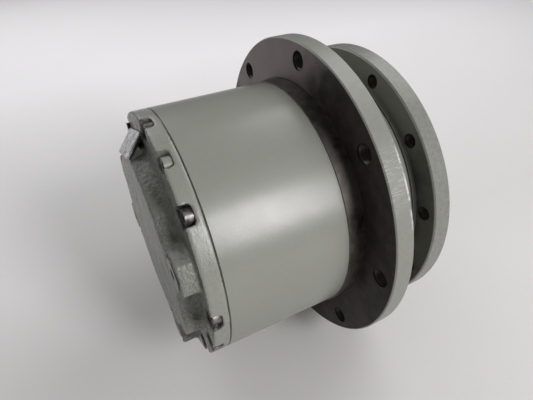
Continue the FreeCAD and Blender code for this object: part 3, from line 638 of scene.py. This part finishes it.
@dataclass(frozen=True)
class PlateSkin:
    """Bare aluminium plate, mottled with smudges and dark specks."""

    light: Colour = (0.78, 0.78, 0.79)
    grey: Colour = (0.34, 0.34, 0.35)
    smudge: Colour = (0.060, 0.058, 0.056)
    clouds: Mottle = Mottle(120.0, level=0.40, gain=4.5, detail=4.0, rough=0.65)
    specks: Mottle = Mottle(620.0, level=0.51, gain=8.0, rough=0.7)
    speck_share: float = 0.6
    roughness: float = 0.34
    speck_roughness: float = 0.3
    metallic: float = 0.75
    grain: float = 900.0
    grain_strength: float = 0.3
    grain_height: float = 0.00010

    def material(self, name: str) -> bpy.types.Material:
        """Mottled plate."""
        graph = Graph(name)
        specks = self.specks.mask(graph)
        base = graph.mixed(self.clouds.mask(graph), self.grey, self.light)
        graph.bump(graph.noise(self.grain), self.grain_strength, self.grain_height)
        return graph.finish(Base_Color=graph.mixed(specks * self.speck_share, base, self.smudge),
                            Roughness=self.roughness + specks * self.speck_roughness, Metallic=self.metallic)


@dataclass(frozen=True)
class Metal:
    """Bare metal with fine scratches, or plain rubber."""

    colour: Colour
    roughness: float
    metallic: float = 1.0
    spread: float = 0.25
    grain: float = 320.0
    sheen_spread: float = 0.2
    scratches_per_grain: float = 3.0
    scratch_strength: float = 0.3
    scratch_height: float = 0.00004

    def material(self, name: str) -> bpy.types.Material:
        """Metal whose tone and gloss vary a little."""
        graph = Graph(name)
        spots = graph.noise(self.grain, detail=4.0, rough=0.6)
        scratches = graph.noise(self.grain * self.scratches_per_grain, detail=2.0)
        graph.bump(scratches, self.scratch_strength, self.scratch_height)
        rough = spots * self.sheen_spread + (self.roughness - self.sheen_spread * NOISE_MIDDLE)
        return graph.finish(Base_Color=graph.mixed(spots, *shades(self.colour, self.spread)),
                            Roughness=rough, Metallic=self.metallic)


class Finish(Enum):
    """The finishes of the drive's inner pieces and threads."""

    GROUND = Metal((0.42, 0.42, 0.43), 0.32)
    POLISHED = Metal((0.62, 0.62, 0.64), 0.16, spread=0.08)
    BLACKENED = Metal((0.045, 0.043, 0.042), 0.40, metallic=0.7)
    BRONZE = Metal((0.62, 0.40, 0.16), 0.30)
    SOFT_METAL = Metal((0.72, 0.72, 0.71), 0.38)
    RUBBER = Metal((0.018, 0.018, 0.018), 0.62, metallic=0.0)
    THREAD = Metal((0.055, 0.050, 0.046), 0.40, metallic=0.8, spread=0.30, grain=500.0)


def dress(node: str, material: bpy.types.Material, shown: dict[str, bpy.types.Object]) -> None:
    """Give a CAD node one material.

    Args:
        node: The node's name.
        material: The finish.
        shown: The frame's nodes by name.
    """
    mesh = shown[node].data
    mesh.materials.clear()
    mesh.materials.append(material)
    LOG.info("dressed %s with %s", node, material.name)


@dataclass
class Castings:
    """The turned castings, spindle and drum housing, with the cover's bolts, plugs and plate."""

    paint: SatinPaint = field(default_factory=SatinPaint)
    # each iron's highlight is painted light, paler on the side of its face that faces the light
    flange_iron: TurnedIron = TurnedIron()
    pilot_iron: TurnedIron = TurnedIron(light=(0.090, 0.080, 0.070), crown=(0.150, 0.136, 0.118),
                                        patches=34.0, highlight_turn=38.0, highlight_edge=0.96)
    overspray: TurnedIron = TurnedIron(colour=(0.058, 0.056, 0.048), light=(0.110, 0.108, 0.093),
                                       crown=(0.230, 0.230, 0.202), patches=26.0, highlight_turn=85.0,
                                       roughness=0.45, metallic=0.25)
    frame_face: Zone = Zone(near=15.9, far=16.6, inner=105.2, outer=123.6, blur=0.9)
    mounting_face: Zone = Zone(near=-0.5, far=0.3, inner=0.0, outer=123.2)
    inside: Zone = Zone(near=-0.5, far=120.0, inner=0.0, outer=98.0)
    sprocket_face: Zone = Zone(near=68.4, far=69.0, inner=107.0, outer=139.2, blur=0.3)
    pilot: Zone = Zone(near=68.4, far=82.3, inner=100.0, outer=107.2)
    drum_inside: Zone = Zone(near=20.0, far=182.2, inner=0.0, outer=104.0)
    sprocket_rim: Zone = Zone(near=52.6, far=68.4, inner=139.0, outer=141.0)
    frame_rim: Zone = Zone(near=0.4, far=15.8, inner=123.0, outer=125.0)
    scraped: tuple[float, float] = (27.0, 43.0)
    frame_rim_shade: Colour = (0.130, 0.132, 0.116)
    seam: float = 182.3

    def build(self, shown: dict[str, bpy.types.Object]) -> None:
        """Dress the castings, the bolts, the plugs and the plate."""
        dress("spindle", self._spindle().material("spindle_paint"), shown)
        dress("drum_housing", self._drum().material("drum_paint"), shown)
        dress("oil_plugs", self.paint.material("plug_paint"), shown)
        dress("cover_bolts", BoltPaint(self.paint).material("bolt_paint"), shown)
        dress("data_plate", PlateSkin().material("plate_skin"), shown)

    def _spindle(self) -> PartPainted:
        """Paint on the spindle's flange, with overspray on its inner face and bare mating faces."""
        bare = (BareZone(self.frame_face, self.overspray), BareZone(self.mounting_face, self.flange_iron),
                BareZone(self.inside, self.flange_iron))
        rim = MarkedRim(self.frame_rim, shade=self.frame_rim_shade)
        return PartPainted(self.paint, bare, (FRAME_HOLES, MOTOR_HOLES), self.flange_iron, rim)

    def _drum(self) -> PartPainted:
        """Paint on the drum, with a bare sprocket face, pilot and inside."""
        bare = (BareZone(self.sprocket_face, self.flange_iron), BareZone(self.pilot, self.pilot_iron),
                BareZone(self.drum_inside, self.flange_iron))
        rim = MarkedRim(self.sprocket_rim, self.scraped)
        return PartPainted(self.paint, bare, (SPROCKET_HOLES,), self.flange_iron, rim, (self.seam,))


@dataclass
class CoverCasting:
    """The end cover, with the soft edges and corners of a sand casting, in millimetres."""

    paint: SatinPaint = field(default_factory=SatinPaint)
    node: str = "end_cover"
    cell: float = 1.2
    crisp_until: float = 184.2
    crisp_radius: float = 103.4
    passes: int = 6
    softness: float = 0.5

    def build(self, shown: dict[str, bpy.types.Object]) -> bpy.types.Object:
        """Cast the cover from the CAD node's shape and dress it.

        Args:
            shown: The frame's nodes by name.

        Returns:
            The new piece, which stands for the node.
        """
        mesh = self._recast(shown[self.node])
        self._soften(mesh)
        piece = bpy.data.objects.new("cover_casting", mesh)
        bpy.context.scene.collection.objects.link(piece)
        mesh.materials.clear()
        mesh.materials.append(CastPaint(self.paint).material("cover_paint"))
        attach(piece, "drum")
        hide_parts(self.node)
        LOG.info("built %s with %d faces", piece.name, len(mesh.polygons))
        return piece

    def _recast(self, node: bpy.types.Object) -> bpy.types.Mesh:
        """Close a copy of the node's triangles and remake it in even cells."""
        copy = bpy.data.objects.new("cover_blank", node.data.copy())
        bpy.context.scene.collection.objects.link(copy)
        blank = bmesh.new()
        blank.from_mesh(copy.data)
        bmesh.ops.remove_doubles(blank, verts=blank.verts, dist=MERGE_DISTANCE)
        blank.to_mesh(copy.data)
        blank.free()
        remake = copy.modifiers.new("cells", "REMESH")
        remake.mode = "VOXEL"
        remake.voxel_size = self.cell * MM
        remade = copy.evaluated_get(bpy.context.evaluated_depsgraph_get())
        mesh = bpy.data.meshes.new_from_object(remade)
        bpy.data.objects.remove(copy)
        return mesh

    def _soften(self, mesh: bpy.types.Mesh) -> None:
        """Round the cast edges, and leave the turned rim and the joint crisp."""
        shell = bmesh.new()
        shell.from_mesh(mesh)
        cast = [vert for vert in shell.verts if -vert.co.y > self.crisp_until * MM
                and math.hypot(vert.co.x, vert.co.z) < self.crisp_radius * MM]
        for _ in range(self.passes):
            bmesh.ops.smooth_vert(shell, verts=cast, factor=self.softness, use_axis_x=True, use_axis_y=True,
                                  use_axis_z=True)
        for face in shell.faces:
            face.smooth = True
        shell.to_mesh(mesh)
        shell.free()


@dataclass
class TappedHoles:
    """Threads in a ring of flange holes, in millimetres from the mounting face."""

    name: str
    body: str
    holes: HoleRing
    near: float
    far: float
    pitch: float
    height: float
    slot: str = "dark_steel"
    sides: int = 28
    wall: float = 0.25
    inset: float = 0.02
    land: float = 0.01

    def build(self, material: bpy.types.Material) -> bpy.types.Object:
        """Turn one threaded sleeve in each hole.

        Args:
            material: The thread's finish.

        Returns:
            The piece with all the holes' threads.
        """
        work = bmesh.new()
        for index in range(self.holes.count):
            turn = math.radians(self.holes.first + index * 360.0 / self.holes.count)
            self._sleeve(work, Vector((math.cos(turn), 0.0, math.sin(turn))) * self.holes.circle_radius)
        bmesh.ops.remove_doubles(work, verts=work.verts, dist=MERGE_DISTANCE)
        bmesh.ops.recalc_face_normals(work, faces=work.faces)
        mesh = bpy.data.meshes.new(self.name)
        work.to_mesh(mesh)
        work.free()
        mesh.materials.append(material)
        piece = bpy.data.objects.new(self.name, mesh)
        bpy.context.scene.collection.objects.link(piece)
        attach(piece, self.body)
        LOG.info("built %s with %d faces", self.name, len(mesh.polygons))
        return piece

    def _sleeve(self, work: bmesh.types.BMesh, centre: Vector) -> None:
        """Spin the thread's outline round one hole's axis."""
        turns = int((self.far - self.near) / self.pitch)
        outer = self.holes.hole_radius + self.wall
        root = self.holes.hole_radius - self.inset
        crest = self.holes.hole_radius - self.height
        outline = [(outer, self.far), (outer, self.near)]
        for step in range(turns):
            start = self.near + step * self.pitch
            outline += [(root, start + self.land), (crest, start + self.pitch / 2)]
        outline.append((root, self.far - self.land))
        verts = [work.verts.new((centre + Vector((out, -depth, 0.0))) * MM) for out, depth in outline]
        edges = [work.edges.new(pair) for pair in zip(verts, verts[1:] + verts[:1])]
        bmesh.ops.spin(work, geom=verts + edges, cent=centre * MM, axis=(0.0, 1.0, 0.0),
                       angle=2 * math.pi, steps=self.sides, use_merge=True)


@dataclass
class FlangeThreads:
    """The threads of both flanges."""

    rings: tuple[TappedHoles, ...] = (
        TappedHoles("sprocket_hole_threads", "drum", SPROCKET_HOLES, near=53.4, far=67.4, pitch=2.0,
                    height=0.9),
        TappedHoles("frame_hole_threads", "spindle", FRAME_HOLES, near=1.2, far=15.0, pitch=1.5, height=0.65),
    )

    def build(self) -> None:
        """Build both rings in one finish."""
        material = Finish.THREAD.value.material("thread_iron")
        for ring in self.rings:
            ring.build(material)


@dataclass
class InnerPieces:
    """Everything that is bare metal or rubber, with its finish."""

    finishes: dict[Finish, tuple[str, ...]] = field(default_factory=lambda: {
        Finish.GROUND: ("bearing_spacer", "ring_gear", "second_stage_carrier", "first_stage_carrier",
                        "second_sun_gear", "input_shaft", "coupling_sleeve"),
        Finish.POLISHED: ("thrust_button", "fixed_seal_ring", "turning_seal_ring", "second_planet_pins",
                          "first_planet_pins"),
        Finish.BLACKENED: ("bearing_nut", "carrier_circlip", "sleeve_circlip", "second_planet_circlips",
                           "first_planet_circlips", "rim_screw"),
        Finish.BRONZE: ("second_planet_washers", "first_planet_washers"),
        Finish.SOFT_METAL: ("plug_washers",),
        # plate_backing is a black sheet that stands for the shade in the gap under the data plate
        Finish.RUBBER: ("fixed_seal_rubber", "turning_seal_rubber", "plate_backing"),
    })

    def build(self, shown: dict[str, bpy.types.Object]) -> None:
        """Dress each piece, then the gears, bushes and bearings by their names."""
        made = {finish: finish.value.material(finish.name.lower()) for finish in self.finishes}
        for finish, nodes in self.finishes.items():
            for node in nodes:
                dress(node, made[finish], shown)
        for node in shown:
            if node.endswith(("_race", "_rollers")):
                dress(node, made[Finish.POLISHED], shown)
            elif node.endswith("_cage") or "_bush_" in node:
                dress(node, made[Finish.BRONZE], shown)
            elif "_gear_" in node and "planet" in node:
                dress(node, made[Finish.GROUND], shown)


@dataclass
class Softbox:
    """One soft light that looks at the drive, its angles in degrees and its lengths in metres."""

    name: str
    azimuth: float
    elevation: float
    distance: float
    width: float
    height: float
    power: float
    colour: Colour = (1.0, 1.0, 1.0)
    aim: tuple[float, float, float] = (0.0, -0.1, 0.0)

    def build(self) -> None:
        """Make the lamp, facing its aim."""
        lamp = bpy.data.lights.new(self.name, "AREA")
        lamp.shape = "RECTANGLE"
        lamp.size = self.width
        lamp.size_y = self.height
        lamp.energy = self.power
        lamp.color = self.colour
        turn = math.radians(self.azimuth)
        rise = math.radians(self.elevation)
        away = Vector((math.sin(turn) * math.cos(rise), -math.cos(turn) * math.cos(rise), math.sin(rise)))
        lamp_object = bpy.data.objects.new(self.name, lamp)
        lamp_object.location = Vector(self.aim) + away * self.distance
        lamp_object.rotation_euler = away.to_track_quat("Z", "Y").to_euler()
        bpy.context.scene.collection.objects.link(lamp_object)


@dataclass
class Studio:
    """Pale floor with painted light, even sky and soft lights."""

    floor_height: float = -0.1402
    floor_reach: float = 8.0
    floor_roughness: float = 0.7
    dim_near_colour: Colour = (0.64, 0.63, 0.62)
    lit_far_colour: Colour = (0.98, 0.965, 0.98)
    fade_length: float = 0.8
    cloud_scale: float = 3.0
    cloud_spread: float = 0.12
    sky_colour: Colour = (1.0, 0.995, 0.99)
    sky_strength: float = 0.13
    boxes: tuple[Softbox, ...] = (
        Softbox("window", azimuth=109.5, elevation=28.2, distance=1.5, width=0.42, height=0.80, power=18.5,
                colour=(1.0, 0.97, 1.0)),
        Softbox("window_glow", azimuth=125.0, elevation=45.0, distance=2.0, width=1.2, height=1.2, power=3.0,
                colour=(1.0, 0.99, 0.985)),
        Softbox("frame_side", azimuth=200.0, elevation=47.0, distance=2.0, width=1.4, height=1.0, power=15.5),
        Softbox("far_side", azimuth=-70.0, elevation=35.0, distance=2.0, width=1.4, height=1.2, power=12.5),
        Softbox("cover_side", azimuth=0.0, elevation=25.0, distance=2.0, width=1.4, height=1.0, power=1.5),
    )

    def build(self) -> None:
        """Make the floor, the sky and the lights."""
        self._floor()
        world = bpy.data.worlds.new("sky")
        world.use_nodes = True
        sky = world.node_tree.nodes["Background"]
        sky.inputs["Color"].default_value = (*self.sky_colour, 1.0)
        sky.inputs["Strength"].default_value = self.sky_strength
        bpy.context.scene.world = world
        for box in self.boxes:
            box.build()

    def _floor(self) -> None:
        """Lay the floor, painted paler away from the camera as a painted pool of light."""
        bpy.ops.mesh.primitive_plane_add(size=self.floor_reach)
        floor = bpy.context.active_object
        floor.name = "floor"
        floor.data.transform(Matrix.Translation((0.0, 0.0, self.floor_height)))
        graph = Graph("floor_paper")
        away = (graph.across * -MM / self.fade_length).clamped()
        cloud = graph.noise(self.cloud_scale) * self.cloud_spread - self.cloud_spread * NOISE_MIDDLE
        # painted light: the floor's colour grows paler along -X, as if more light fell there
        painted_light = graph.mixed(away + cloud, self.dim_near_colour, self.lit_far_colour)
        floor.data.materials.append(graph.finish(Base_Color=painted_light, Roughness=self.floor_roughness))


@dataclass
class PhotoCamera:
    """Camera at the photograph's place, in the drive's own frame."""

    place: tuple[float, float, float] = (0.2708, -0.2369, 0.2388)
    right: tuple[float, float, float] = (0.467, 0.884, -0.018)
    above: tuple[float, float, float] = (-0.540, 0.302, 0.786)
    lens: float = 27.74
    sensor: float = 36.0
    clip_start: float = 0.01

    def build(self) -> None:
        """Make the camera and use it."""
        data = bpy.data.cameras.new("photo_camera")
        data.lens = self.lens
        data.sensor_width = self.sensor
        data.clip_start = self.clip_start
        camera = bpy.data.objects.new("photo_camera", data)
        right = Vector(self.right).normalized()
        up = Vector(self.above)
        up = (up - right * up.dot(right)).normalized()
        back = right.cross(up)
        camera.matrix_world = Matrix.Translation(self.place) @ Matrix((right, up, back)).transposed().to_4x4()
        bpy.context.scene.collection.objects.link(camera)
        bpy.context.scene.camera = camera


def main() -> None:
    """Load the drive, dress it, light it and point the camera."""
    logging.basicConfig(level=logging.INFO, format="%(message)s")
    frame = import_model()
    bpy.context.scene.view_settings.view_transform = "Standard"
    shown = frame["nodes"]
    PhotoCamera().build()
    Studio().build()
    Castings().build(shown)
    CoverCasting().build(shown)
    FlangeThreads().build()
    InnerPieces().build(shown)


if __name__ == "__main__":
    main()
